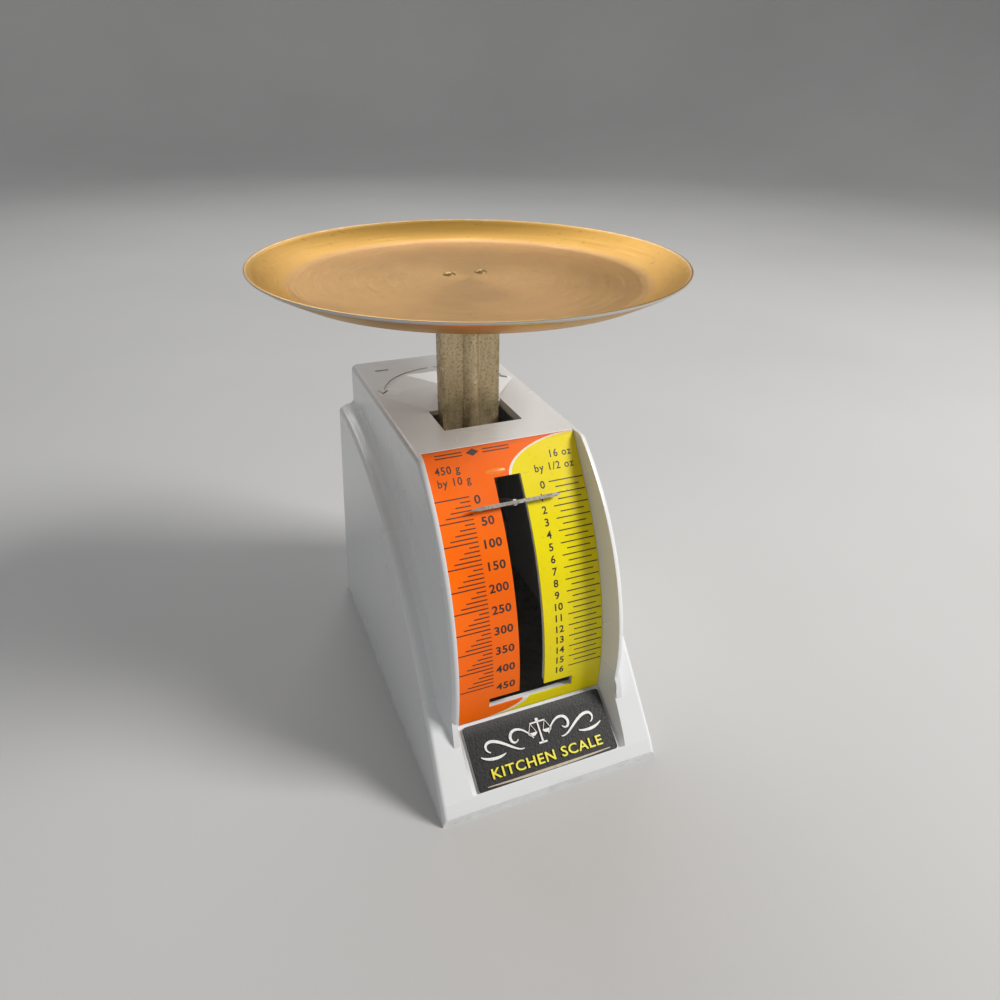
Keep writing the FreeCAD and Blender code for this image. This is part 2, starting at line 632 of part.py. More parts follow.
def make_pointer_arm():
    """Foot riveted on the lever's front web, then a thin upright blade out to the pointer."""
    top = ARM_HALF_HEIGHT
    foot_piece = web(LEVER_PIVOT, POINTER_TAB, (top, top + 1.0), 4.5)
    tip = POINTER_RADIUS - NEEDLE_THICKNESS
    blade = [(39.4, top + 0.9), (39.4, top + 2.6), (50.0, 7.4), (tip, 0.9), (tip, -0.9), (52.0, 4.4),
             (POINTER_TAB[1], top + 0.9)]
    return foot_piece.fuse(slab([along_lever(*p) for p in blade], 0.5)).removeSplitter()


def lever_normal():
    return Vector(0, sin(radians(REST_ANGLE)), cos(radians(REST_ANGLE)))


def make_pointer_rivets():
    rivets = []
    for x in POINTER_RIVET_X:
        base = side_point(*along_lever(POINTER_RIVET_REACH, LEVER_WEB[0] - 0.5), x)
        top_point = side_point(*along_lever(POINTER_RIVET_REACH, ARM_HALF_HEIGHT + 1.0), x)
        rivet = Part.makeCylinder(0.75, 3.0, base, lever_normal())
        rivet = rivet.fuse(Part.makeCylinder(1.3, 0.6, top_point, lever_normal()))
        rivet = rivet.fuse(Part.makeCylinder(1.2, 0.5, base, lever_normal()))
        rivets.append(rivet)
    return Part.makeCompound(rivets)


def rivet_holes():
    starts = [side_point(*along_lever(POINTER_RIVET_REACH, 1.0), x) for x in POINTER_RIVET_X]
    return Part.makeCompound([Part.makeCylinder(0.75, 8.0, p, lever_normal()) for p in starts])


def make_pointer():
    """Thin flat needle across the dial, tapered to both ends."""
    long, half = POINTER_HALF_LENGTH, NEEDLE_HALF_HEIGHT
    corners = [(-long, 0.0), (3 - long, half), (long - 1, half), (long, 0.0), (long - 1, -half), (3 - long, -half),
               (-long, 0.0)]
    face = Part.Face(Part.makePolygon([Vector(x, -POINTER_RADIUS, z) for x, z in corners]))
    needle = face.extrude(Vector(0, NEEDLE_THICKNESS, 0))
    needle.rotate(Vector(0, 0, 0), Vector(1, 0, 0), -REST_ANGLE)
    needle.translate(side_point(*LEVER_PIVOT))
    return needle


def make_plain_pin(radius, half_length, centre):
    return cylinder_x(radius, (-half_length, half_length), *centre)


def column_pin_centre(pivot):
    return (pivot[0] - COLUMN_ARM * cos(radians(REST_ANGLE)), pivot[1] + COLUMN_ARM * sin(radians(REST_ANGLE)))


# ---------------------------------------------------------------- check link
def make_check_link():
    low = (-LINK_HALF_HEIGHT, -LINK_HALF_HEIGHT + 1.0)
    link = twin_arms(link_pivot(), LINK_HALF_HEIGHT, [((5.5, 20.0), low), ((37.5, 41.5), low)])
    bores = [(LINK_HUB_RADIUS, link_pivot()), (THIN_PIN_RADIUS, column_pin_centre(link_pivot()))]
    return link.cut(Part.makeCompound([cylinder_x(r, (-20, 20), *p) for r, p in bores]))


# ---------------------------------------------------------------- column and pan
def make_column():
    """Folded sheet: front web with a pressed bead, two flanges, deeper ears at the pins."""
    half = COLUMN_HALF_WIDTH
    front = COLUMN_FRONT
    top_z = PAN_FLOOR_Z - PAN_SHEET
    web_low = 69.0
    low_pin = column_pin_centre(LEVER_PIVOT)
    high_pin = column_pin_centre(link_pivot())
    face = box((-half, half), (front, front + COLUMN_SHEET), (web_low, top_z))
    ear_y = low_pin[0] + 3.6
    flange_y = front + COLUMN_DEPTH
    side = [(front, low_pin[1] - 4.0), (ear_y, low_pin[1] - 4.0), (ear_y, low_pin[1] + 4.5),
            (flange_y, low_pin[1] + 9.0), (flange_y, high_pin[1] - 6.5), (ear_y, high_pin[1] - 3.6),
            (ear_y, high_pin[1] + 3.6), (flange_y, high_pin[1] + 5.2), (flange_y, top_z), (front, top_z)]
    flange = slab(side, COLUMN_SHEET / 2, None, half - COLUMN_SHEET / 2)
    tab = box((-half + 1.4, half - 1.4), (front, front + 12.0), (top_z - COLUMN_SHEET, top_z))
    bead_y = front + 1.3
    bead_z = (web_low + 3, top_z - 4)
    bead = cylinder_z(BEAD_RADIUS, bead_z, 0, bead_y)
    ends = [Part.makeSphere(BEAD_RADIUS, Vector(0, bead_y, z)) for z in bead_z]
    bead = bead.fuse(ends).common(box((-10, 10), (0, front + 0.5), (0, 200)))
    column = face.fuse([flange, mirrored(flange), tab, bead])
    hollow = cylinder_z(BEAD_RADIUS - 0.9, bead_z, 0, bead_y)
    holes = [hollow, cylinder_x(THIN_PIN_RADIUS + RUNNING_GAP, (-20, 20), *low_pin),
             cylinder_x(THIN_PIN_RADIUS + OPEN_PIVOT_GAP, (-20, 20), *high_pin)]
    holes += [cylinder_z(PAN_RIVET_RADIUS, (130, 150), x, y) for x, y in both_sides(PAN_RIVETS)]
    return column.cut(Part.makeCompound(holes)).removeSplitter()


def make_pan():
    """Shallow dish: flat floor, sloping wall, thin upright lip."""
    floor, rim = PAN_FLOOR_Z, PAN_RIM_Z
    sheet = PAN_SHEET
    bend = (PAN_FLOOR_RADIUS + 3.0, floor + 0.75)
    lip = (PAN_RADIUS - 0.5, rim)
    corners = [(0, floor), (PAN_FLOOR_RADIUS, floor), bend, lip, (PAN_RADIUS, rim - 0.3),
               (PAN_RADIUS, rim - sheet), (bend[0] + 0.3, bend[1] - sheet),
               (PAN_FLOOR_RADIUS + 0.1, floor - sheet), (0, floor - sheet)]
    profile = Part.Face(Part.makePolygon([Vector(r, 0, z) for r, z in corners] + [Vector(0, 0, floor)]))
    pan = profile.revolve(Vector(0, 0, 0), Vector(0, 0, 1), 360)
    pan.translate(Vector(0, PAN_CENTRE_Y, 0))
    holes = [cylinder_z(PAN_RIVET_RADIUS, (130, 150), x, y) for x, y in both_sides(PAN_RIVETS)]
    return pan.cut(Part.makeCompound(holes))


def make_pan_rivets():
    rivets = []
    tab_under = PAN_FLOOR_Z - PAN_SHEET - COLUMN_SHEET
    for x, y in both_sides(PAN_RIVETS):
        dome = Part.makeSphere(2.6, Vector(x, y, PAN_FLOOR_Z - 1.7))
        dome = dome.common(cylinder_z(4.0, (PAN_FLOOR_Z, PAN_FLOOR_Z + 4), x, y))
        shank = cylinder_z(PAN_RIVET_RADIUS, (tab_under - 0.6, PAN_FLOOR_Z + 0.2), x, y)
        tail = cylinder_z(1.9, (tab_under - 0.6, tab_under), x, y)
        rivets.append(dome.fuse([shank, tail]))
    return Part.makeCompound(rivets)


# ---------------------------------------------------------------- zero adjuster and spring
def make_adjuster_screw():
    low, high = ADJUSTER_HEAD_Z
    head = cylinder_z(ADJUSTER_HEAD_RADIUS, (low, high), 0, ADJUSTER_Y)
    head = head.makeFillet(0.5, edges_where(head, lambda e: abs(e.CenterOfMass.z - high) < 0.01 and e.Length > 5))
    slot = box((-4, 4), (ADJUSTER_Y - 0.5, ADJUSTER_Y + 0.5), (high - 1.2, high + 1))
    return head.cut(slot).fuse(cylinder_z(ADJUSTER_RADIUS, (ADJUSTER_TIP_Z, low + 0.1), 0, ADJUSTER_Y))


def make_adjuster_clip():
    low = CAVITY_TOP - BOSS_DEPTH - 0.3 - CLIP_THICKNESS
    ring = cylinder_z(3.8, (low, low + CLIP_THICKNESS), 0, ADJUSTER_Y)
    return ring.cut(cylinder_z(ADJUSTER_RADIUS, (0, 100), 0, ADJUSTER_Y))


def make_spring_hook():
    """Threaded carrier on the adjuster screw, with a cross bar for the spring's upper loop."""
    nut = cylinder_z(4.2, HOOK_NUT_Z, 0, ADJUSTER_Y)
    legs = [box((x, x + 1.0), (ADJUSTER_Y - 2, ADJUSTER_Y + 2), (HOOK_BAR_Z - 1.6, HOOK_NUT_Z[0] + 1))
            for x in (-3.8, 2.8)]
    bar = cylinder_x(1.0, (-3.8, 3.8), ADJUSTER_Y, HOOK_BAR_Z)
    bore = cylinder_z(ADJUSTER_RADIUS + RUNNING_GAP, (HOOK_NUT_Z[0] - 1, 100), 0, ADJUSTER_Y)
    return nut.fuse(legs + [bar]).cut(bore).removeSplitter()


def make_main_spring():
    """Plain sleeve in the place of the close-wound extension spring between its two loops."""
    ends = (along_lever(spring_arm(), 0)[1] + SPRING_LOOP, HOOK_BAR_Z - SPRING_LOOP)
    bore, outside = SPRING_RADII
    return cylinder_z(outside, ends, 0, ADJUSTER_Y).cut(cylinder_z(bore, ends, 0, ADJUSTER_Y))


# ---------------------------------------------------------------- assembly
def make_parts():
    low_pin = column_pin_centre(LEVER_PIVOT)
    high_pin = column_pin_centre(link_pivot())
    clips = both_ends(2.6, THIN_PIN_RADIUS, (COLUMN_HALF_WIDTH + 0.25, COLUMN_HALF_WIDTH + 0.85), low_pin)
    return {
        "housing": make_housing(),
        "dial_plate": make_dial_plate(),
        "name_plate": make_name_plate(),
        "base_cover": make_base_cover(),
        "cover_screws": make_screws(COVER_SCREWS, PILOT_RADIUS, PILOT_TOP_Z - 2.0),
        "frame_bracket": make_frame_bracket(),
        "frame_screws": make_screws(FRAME_SCREWS, THIN_PIN_RADIUS, BRACKET_FLOOR_Z[1] + NUT_HEIGHT + 0.6),
        "frame_nuts": make_frame_nuts(),
        "lever_pivot_pin": make_pivot_pin(PIVOT_PIN_RADIUS, LEVER_PIVOT),
        "link_pivot_pin": make_pivot_pin(THIN_PIN_RADIUS, link_pivot()),
        "pivot_clips": make_pivot_clips(),
        "stop_pins": make_stop_pins(),
        "main_spring": make_main_spring(),
        "lever": make_lever().cut(rivet_holes()),
        "lever_hub": make_hub(LEVER_HUB_RADIUS, PIVOT_PIN_RADIUS, LEVER_PIVOT),
        "pointer_arm": make_pointer_arm().cut(rivet_holes()),
        "pointer_rivets": make_pointer_rivets(),
        "pointer": make_pointer(),
        "spring_pin": make_plain_pin(SPRING_PIN_RADIUS, ARM_X[1], along_lever(spring_arm(), 0)),
        "column_pin": make_plain_pin(THIN_PIN_RADIUS, COLUMN_HALF_WIDTH + 1.0, low_pin),
        "column_pin_clips": Part.makeCompound(clips),
        "check_link": make_check_link(),
        "link_hub": make_hub(LINK_HUB_RADIUS, THIN_PIN_RADIUS, link_pivot()),
        "link_column_pin": make_plain_pin(THIN_PIN_RADIUS, COLUMN_HALF_WIDTH + 0.6, high_pin),
        "column": make_column(),
        "pan": make_pan(),
        "pan_rivets": make_pan_rivets(),
        "adjuster_screw": make_adjuster_screw(),
        "adjuster_clip": make_adjuster_clip(),
        "spring_hook": make_spring_hook(),
    }


def main():
    os.makedirs("parts", exist_ok=True)
    for name, shape in make_parts().items():
        export(name, shape)
        print(name, "valid" if shape.isValid() else "INVALID", len(shape.Solids), round(shape.Volume, 1))


main()
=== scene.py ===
"""Looks of the small spring scale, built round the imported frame.

The frame is in metres, with X right, Y back and Z up. The shapes below are worked out in millimetres,
and place_mesh turns them into metres.
"""
import bpy
import bmesh
import json
from math import sin, cos, pi, radians, sqrt, tau
from mathutils import Matrix, Vector


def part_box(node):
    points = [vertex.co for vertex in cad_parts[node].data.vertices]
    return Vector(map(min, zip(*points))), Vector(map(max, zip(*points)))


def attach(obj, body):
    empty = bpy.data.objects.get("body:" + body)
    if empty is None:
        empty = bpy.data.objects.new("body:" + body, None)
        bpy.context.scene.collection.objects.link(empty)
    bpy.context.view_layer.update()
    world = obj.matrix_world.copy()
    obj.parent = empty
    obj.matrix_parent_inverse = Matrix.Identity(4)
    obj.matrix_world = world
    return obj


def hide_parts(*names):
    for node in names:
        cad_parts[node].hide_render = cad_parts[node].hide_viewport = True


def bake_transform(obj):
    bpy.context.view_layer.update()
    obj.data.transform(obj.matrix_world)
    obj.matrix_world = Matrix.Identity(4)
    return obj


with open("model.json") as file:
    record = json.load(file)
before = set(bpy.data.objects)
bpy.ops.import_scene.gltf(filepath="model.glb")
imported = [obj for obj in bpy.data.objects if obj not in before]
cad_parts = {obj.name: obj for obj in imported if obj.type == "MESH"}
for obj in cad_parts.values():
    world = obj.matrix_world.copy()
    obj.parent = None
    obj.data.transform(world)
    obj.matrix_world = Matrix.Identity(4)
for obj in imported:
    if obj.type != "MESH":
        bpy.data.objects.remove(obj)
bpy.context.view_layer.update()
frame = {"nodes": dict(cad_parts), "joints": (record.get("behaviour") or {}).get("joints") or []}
MM = 0.001
JOINTS = {j["name"]: j for j in frame["joints"]}

# The dial is an arc about the lever's pivot, and straight above DIAL_ARC_TOP.
# Its angles are in degrees above the horizontal.
PIVOT_Y, PIVOT_Z = (c / MM for c in JOINTS["lever_swing"]["pos_m"][1:])
DIAL_RADIUS = 94.5
DIAL_ARC_TOP = 36.0
DIAL_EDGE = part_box("dial_plate")[1].x / MM
GRAM_ZERO, GRAM_FULL, GRAMS = 38.6, 2.2, 450
OUNCES = 16
GRAMS_PER_OUNCE = 28.3495

LINE_HALF = 0.17        # half the width of a printed line
PRINT_LIFT = 0.03       # the ink stands this far over the label
SLAB_SINK = 0.02        # every flat piece is sunk this far into what it lies on
CAP_HEIGHT = 0.7        # a capital in Blender's own font, at size 1


# ---------------------------------------------------------------- node materials
class Look:
    """A Principled material, with short calls for its procedural nodes."""

    def __init__(self, name, roughness=0.5, metallic=0.0, **sockets):
        self.material = bpy.data.materials.new(name)
        self.material.use_nodes = True
        self.tree = self.material.node_tree
        self.shader = self.tree.nodes["Principled BSDF"]
        self.shader.inputs["Metallic"].default_value = metallic
        self.shader.inputs["Roughness"].default_value = roughness
        for key, value in sockets.items():
            self.shader.inputs[key.replace("_", " ")].default_value = value
        self.place = self.node("ShaderNodeTexCoord").outputs["Object"]
        split = self.node("ShaderNodeSeparateXYZ")
        self.link(self.place, split.inputs[0])
        self.x, self.y, self.z = split.outputs

    def node(self, kind, **props):
        made = self.tree.nodes.new(kind)
        for key, value in props.items():
            setattr(made, key, value)
        return made

    def link(self, out, to):
        self.tree.links.new(out, to)

    def put(self, socket, value):
        if isinstance(value, (int, float, tuple, list)):
            socket.default_value = value
        else:
            self.link(value, socket)

    def calc(self, operation, *values, clamp=False):
        made = self.node("ShaderNodeMath", operation=operation, use_clamp=clamp)
        for socket, value in zip(made.inputs, values):
            self.put(socket, value)
        return made.outputs[0]

    def join(self, x, y, z):
        made = self.node("ShaderNodeCombineXYZ")
        for socket, value in zip(made.inputs, (x, y, z)):
            self.put(socket, value)
        return made.outputs[0]

    def noise(self, scale, detail=3.0, roughness=0.55, at=None):
        made = self.node("ShaderNodeTexNoise")
        self.link(at or self.place, made.inputs["Vector"])
        made.inputs["Scale"].default_value = scale
        made.inputs["Detail"].default_value = detail
        made.inputs["Roughness"].default_value = roughness
        return made.outputs["Fac"]

    def cells(self, scale):
        made = self.node("ShaderNodeTexVoronoi")
        self.link(self.place, made.inputs["Vector"])
        made.inputs["Scale"].default_value = scale
        return made.outputs["Distance"]

    def span(self, value, low, high, to_low=0.0, to_high=1.0):
        made = self.node("ShaderNodeMapRange", clamp=True)
        ends = (("From Min", low), ("From Max", high), ("To Min", to_low), ("To Max", to_high))
        for key, number in ends:
            made.inputs[key].default_value = number
        self.put(made.inputs["Value"], value)
        return made.outputs["Result"]

    def mix(self, share, first, second):
        made = self.node("ShaderNodeMix", data_type="RGBA")
        self.put(made.inputs["Factor"], share)
        for key, value in (("A", first), ("B", second)):
            socket = [s for s in made.inputs if s.name == key and s.type == "RGBA"][0]
            self.put(socket, (*value, 1.0) if isinstance(value, tuple) and len(value) == 3 else value)
        return [s for s in made.outputs if s.type == "RGBA"][0]

    def paint(self, colour):
        self.put(self.shader.inputs["Base Color"], (*colour, 1.0) if isinstance(colour, tuple) else colour)

    def rough(self, value):
        self.put(self.shader.inputs["Roughness"], value)

    def bump(self, height, distance, strength, under=None):
        made = self.node("ShaderNodeBump")
        made.inputs["Strength"].default_value = strength
        made.inputs["Distance"].default_value = distance
        self.link(height, made.inputs["Height"])
        if under is not None:
            self.link(under, made.inputs["Normal"])
        self.link(made.outputs[0], self.shader.inputs["Normal"])
        return made.outputs[0]


def white_plastic():
    look = Look("white_plastic", Coat_Weight=0.35, Coat_Roughness=0.12, IOR=1.5)
    cloud = look.noise(14.0, 2.0)
    body = look.mix(look.span(cloud, 0.35, 0.7), (0.80, 0.81, 0.81), (0.77, 0.782, 0.79))
    smudge = look.span(look.noise(160.0, 6.0, 0.7), 0.62, 0.80)
    dusty = look.mix(look.calc("MULTIPLY", smudge, 0.04), body, (0.50, 0.48, 0.45))
    near_floor = look.span(look.z, 4 * MM, 0.0)
    grime = look.calc("MULTIPLY", near_floor, look.span(look.noise(240.0, 5.0), 0.4, 0.65))
    look.paint(look.mix(look.calc("MULTIPLY", grime, 0.30), dusty, (0.36, 0.34, 0.31)))
    look.rough(look.span(look.noise(24.0, 2.0), 0.3, 0.75, 0.22, 0.30))
    look.bump(look.noise(1400.0, 2.0), 0.00001, 0.20)
    return look.material


def label_print():
    """Orange field on the left, yellow on the right, a thin white border where they meet."""
    look = Look("label_print", Coat_Weight=0.12, Coat_Roughness=0.18, Specular_IOR_Level=0.25)
    x = look.calc("MULTIPLY", look.x, 1 / MM)
    down = look.calc("SUBTRACT", PIVOT_Y, look.calc("MULTIPLY", look.y, 1 / MM))
    rise = look.calc("SUBTRACT", look.calc("MULTIPLY", look.z, 1 / MM), PIVOT_Z)
    angle = look.calc("MULTIPLY", look.calc("ARCTAN2", rise, down), 180 / pi)

    def ellipse(mid_x, mid_angle, half_x, half_angle):
        """Below 1 inside the ellipse, in the x and angle plane."""
        def part(value, middle, half):
            off = look.calc("ABSOLUTE", look.calc("SUBTRACT", value, middle))
            return look.calc("POWER", look.calc("DIVIDE", off, half), 2.0)
        return look.calc("SQRT", look.calc("ADD", part(x, mid_x, half_x), part(angle, mid_angle, half_angle)))

    # above the slot the yellow field ends in a quarter round; below it a swash runs off to the left
    top = ellipse(24.3, 41.0, 23.1, 6.15)
    top_yellow = look.span(top, 1.0, 0.998)
    top_edge = look.calc("MULTIPLY", look.span(top, 1.025, 1.023), look.span(top, 0.985, 0.987))
    swash = ellipse(-22.0, -2.9, 19.8, 3.25)
    low_yellow = look.span(swash, 1.0, 1.005)
    low_edge = look.calc("MULTIPLY", look.span(swash, 1.08, 1.07), look.span(swash, 0.97, 0.98))
    above = look.span(angle, 40.9, 41.0)
    below = look.span(angle, -2.9, -3.0)
    right = look.span(x, 0.0, 0.1)
    beside = look.calc("MULTIPLY", right, look.calc("SUBTRACT", 1.0, look.calc("ADD", above, below)))

    def both(top_share, low_share):
        return look.calc("MULTIPLY", above, top_share), look.calc("MULTIPLY", below, low_share)

    yellow = look.calc("ADD", beside, look.calc("ADD", *both(top_yellow, low_yellow)), clamp=True)
    border = look.calc("ADD", *both(top_edge, low_edge), clamp=True)
    fade = look.span(look.noise(35.0, 4.0), 0.35, 0.7)
    orange = look.mix(fade, (1.0, 0.165, 0.001), (0.95, 0.135, 0.001))
    gold = look.mix(fade, (0.91, 0.78, 0.004), (0.86, 0.70, 0.004))
    fields = look.mix(yellow, orange, gold)
    label = look.mix(border, fields, (0.86, 0.84, 0.74))
    specks = look.span(look.noise(900.0, 3.0), 0.62, 0.72)
    aged = look.mix(look.calc("MULTIPLY", specks, 0.22), label, (0.30, 0.20, 0.06))
    # painted shade: a deep orange band across the top of the label, where it bends over the edge
    bend = look.span(angle, 46.2, 47.4)
    look.paint(look.mix(look.calc("MULTIPLY", bend, 0.35), aged, (0.35, 0.09, 0.01)))
    look.rough(look.span(look.noise(150.0, 4.0), 0.3, 0.7, 0.26, 0.40))
    look.bump(look.noise(700.0, 2.0), 0.00003, 0.25)
    return look.material


def ink(name, colour):
    """Printed ink: thinner and browner in places."""
    look = Look(name, roughness=0.42)
    patch = look.span(look.noise(500.0, 3.0), 0.35, 0.75)
    look.paint(look.mix(patch, colour, tuple(min(1.0, c * 2.2 + 0.01) for c in colour)))
    look.bump(look.noise(3000.0, 2.0), 0.00001, 0.3)
    return look.material


def pebbled_black():
    look = Look("pebbled_black", IOR=1.5, Specular_IOR_Level=0.3)
    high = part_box("name_plate")[1]
    grain = look.noise(1500.0, 3.0, 0.6)
    speck = look.span(look.cells(1300.0), 0.12, 0.04)
    base = look.mix(look.span(grain, 0.45, 0.68), (0.010, 0.010, 0.010), (0.030, 0.028, 0.027))
    gathered = look.calc("MULTIPLY", speck, look.span(look.noise(420.0, 3.0), 0.5, 0.62))
    specked = look.mix(gathered, base, (0.16, 0.15, 0.14))
    worn = look.span(look.z, high.z - 2.2 * MM, high.z - 0.2 * MM)
    look.paint(look.mix(look.calc("MULTIPLY", worn, 0.35), specked, (0.12, 0.12, 0.12)))
    look.rough(look.span(grain, 0.3, 0.7, 0.34, 0.62))
    look.bump(grain, 0.00016, 0.8)
    return look.material


def raised_paint(name, colour, worn):
    """Paint on moulded relief, rubbed through to a darker tone in patches."""
    look = Look(name, roughness=0.38, Coat_Weight=0.2, Coat_Roughness=0.2)
    rub = look.span(look.noise(900.0, 4.0), 0.52, 0.72)
    look.paint(look.mix(look.calc("MULTIPLY", rub, 0.5), colour, worn))
    look.bump(look.noise(2200.0, 2.0), 0.00002, 0.5)
    return look.material


def pan_metal():
    """Gold lacquer spun on the sheet: fine rings, handling scratches, and a silver line along the lip's top
    that is partly bare metal, partly painted highlight.
    """
    look = Look("pan_metal", metallic=0.82, Anisotropic=0.35)
    low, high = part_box("pan")
    mid_y = (low.y + high.y) / 2
    dy = look.calc("SUBTRACT", look.y, mid_y)
    squares = look.calc("ADD", look.calc("MULTIPLY", look.x, look.x), look.calc("MULTIPLY", dy, dy))
    radius = look.calc("SQRT", squares)
    turn = look.calc("ARCTAN2", look.x, dy)

    def spun(per_metre, per_turn, level, detail, roughness):
        """Noise drawn out round the pan's middle."""
        across, round_it = look.calc("MULTIPLY", radius, per_metre), look.calc("MULTIPLY", turn, per_turn)
        return look.noise(1.0, detail, roughness, look.join(across, round_it, level))

    rings = spun(2600.0, 2.2, 0.0, 4.0, 0.6)
    arcs = spun(1500.0, 1.7, 7.0, 3.0, 0.55)
    cloud = look.noise(38.0, 4.0)
    floor = look.mix(look.span(cloud, 0.35, 0.68), (0.54, 0.300, 0.090), (0.45, 0.240, 0.068))
    streaked = look.mix(look.calc("MULTIPLY", look.span(rings, 0.5, 0.72), 0.30), floor, (0.68, 0.42, 0.13))
    scratch = look.calc("MULTIPLY", look.span(arcs, 0.56, 0.70), 0.20)
    scratched = look.mix(scratch, streaked, (0.76, 0.58, 0.32))
    # painted light: the sloping wall gets a brighter, deeper gold than the floor, though it is the same
    # lacquer
    wall = look.span(radius, 51.5 * MM, 54.5 * MM)
    with_painted_wall_light = look.mix(look.calc("MULTIPLY", wall, 0.8), scratched, (0.60, 0.325, 0.040))
    # a silver line along the top of the lip: partly bare metal, partly a painted highlight on the rim
    edge = high.x - 0.55 * MM
    ragged = look.calc("ADD", radius, look.calc("MULTIPLY", look.noise(320.0, 4.0), 0.0007))
    at_lip = look.span(ragged, edge - 0.1 * MM, edge + 0.25 * MM)
    lip_bare_and_highlight = look.calc("MULTIPLY", at_lip, look.span(look.z, high.z - 0.02 * MM, high.z - 0.25 * MM))
    stain = look.calc("MULTIPLY", look.span(look.noise(420.0, 5.0), 0.60, 0.70), 0.30)
    stained = look.mix(stain, with_painted_wall_light, (0.26, 0.125, 0.035))
    look.paint(look.mix(lip_bare_and_highlight, stained, (0.62, 0.61, 0.59)))
    look.rough(look.span(rings, 0.3, 0.75, 0.30, 0.50))
    ground = look.bump(rings, 0.00002, 0.45)
    look.bump(arcs, 0.00003, 0.25, ground)
    return look.material


def plated_column():
    """Dull brass plating, speckled and darker towards the bottom and the folded edges."""
    look = Look("plated_column", metallic=0.6)
    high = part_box("column")[1]
    stretched = look.join(look.x, look.y, look.calc("MULTIPLY", look.z, 0.22))
    drawn = look.noise(900.0, 4.0, 0.6, stretched)
    speck = look.noise(1300.0, 4.0, 0.7)
    plate = look.mix(look.span(drawn, 0.35, 0.7), (0.66, 0.53, 0.31), (0.80, 0.67, 0.43))
    freckle = look.calc("MULTIPLY", look.span(speck, 0.52, 0.66), 0.65)
    freckled = look.mix(freckle, plate, (0.20, 0.135, 0.065))
    lowest = look.span(look.z, 118 * MM, 96 * MM)
    depth = look.calc("MULTIPLY", lowest, look.span(look.noise(330.0, 4.0), 0.3, 0.6))
    lower = look.mix(look.calc("MULTIPLY", depth, 0.5), freckled, (0.30, 0.20, 0.09))
    side = look.span(look.calc("ABSOLUTE", look.x), high.x - 1.2 * MM, high.x - 0.1 * MM)
    edge = look.calc("MULTIPLY", side, look.span(look.noise(600.0, 4.0), 0.35, 0.6))
    look.paint(look.mix(look.calc("MULTIPLY", edge, 0.45), lower, (0.22, 0.14, 0.06)))
    look.rough(look.span(speck, 0.3, 0.7, 0.34, 0.60))
    look.bump(speck, 0.00005, 0.5)
    return look.material


def metal(name, colour, dark, roughness, scale=900.0, spots=0.5, metallic=1.0):
    """Plain metal with a mottled tone, dark specks and a grain that sets its gloss."""
    look = Look(name, metallic=metallic)
    grain = look.noise(scale, 4.0, 0.6)
    between = tuple(0.5 * (a + b) for a, b in zip(colour, dark))
    tone = look.mix(look.span(look.noise(scale * 0.12, 3.0), 0.3, 0.7), colour, between)
    look.paint(look.mix(look.calc("MULTIPLY", look.span(grain, 0.54, 0.68), spots), tone, dark))
    look.rough(look.span(grain, 0.3, 0.7, roughness * 0.75, min(1.0, roughness * 1.35)))
    look.bump(grain, 0.00003, 0.4)
    return look.material


def pale_floor():
    look = Look("pale_floor", roughness=0.85)
    cloud = look.span(look.noise(3.0, 3.0), 0.3, 0.7)
    look.paint(look.mix(cloud, (0.56, 0.555, 0.545), (0.52, 0.515, 0.505)))
    look.bump(look.noise(900.0, 3.0), 0.00008, 0.25)
    return look.material


LOOKS = {
    "housing": white_plastic(),
    "dial": label_print(),
    "name_plate": pebbled_black(),
    "pan_gold": pan_metal(),
    "column_plating": plated_column(),
    "zinc_sheet": metal("zinc_sheet", (0.60, 0.60, 0.58), (0.33, 0.33, 0.32), 0.42, 420.0),
    "steel": metal("steel", (0.55, 0.55, 0.54), (0.26, 0.25, 0.24), 0.30, 1200.0),
    "spring": metal("spring_steel", (0.50, 0.50, 0.50), (0.22, 0.21, 0.20), 0.28, 2200.0),
    "needle": metal("needle_steel", (0.30, 0.285, 0.26), (0.07, 0.06, 0.05), 0.48, 1700.0, 0.9, 0.9),
    "rivet": metal("rivet_brass", (0.56, 0.38, 0.16), (0.16, 0.09, 0.03), 0.38, 1500.0, 0.8),
    "brass_screw": metal("brass_screw", (0.66, 0.47, 0.20), (0.30, 0.18, 0.06), 0.32, 1300.0, 0.5),
}
INK = ink("label_ink", (0.022, 0.014, 0.010))
RELIEF_WHITE = raised_paint("relief_white", (0.82, 0.82, 0.80), (0.42, 0.42, 0.42))
RELIEF_YELLOW = raised_paint("relief_yellow", (0.88, 0.80, 0.03), (0.42, 0.36, 0.02))
EDGE_LINE_BEIGE = raised_paint("edge_line_beige", (0.50, 0.42, 0.30), (0.22, 0.17, 0.11))
BUMP_ORANGE = raised_paint("label_pimple", (1.0, 0.27, 0.03), (0.80, 0.17, 0.02))


# ---------------------------------------------------------------- mesh helpers
def place_mesh(name, vertices, faces, material, body, smooth=None):
    """A mesh piece in millimetres of the row frame, riding on a body."""
    mesh = bpy.data.meshes.new(name)
    mesh.from_pydata([Vector(v) * MM for v in vertices], [], faces)
    built = bmesh.new()
    built.from_mesh(mesh)
    bmesh.ops.remove_doubles(built, verts=built.verts, dist=1e-7)
    bmesh.ops.recalc_face_normals(built, faces=built.faces)
    built.to_mesh(mesh)
    built.free()
    mesh.materials.append(material)
    piece = bpy.data.objects.new(name, mesh)
    bpy.context.scene.collection.objects.link(piece)
    if smooth is not None:
        shade(mesh, smooth)
    if body:
        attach(piece, body)
    return piece


def shade(mesh, angle):
    """Smooth faces that meet at less than this many degrees."""
    mesh.polygons.foreach_set("use_smooth", [True] * len(mesh.polygons))
    mesh.set_sharp_from_angle(angle=radians(angle))


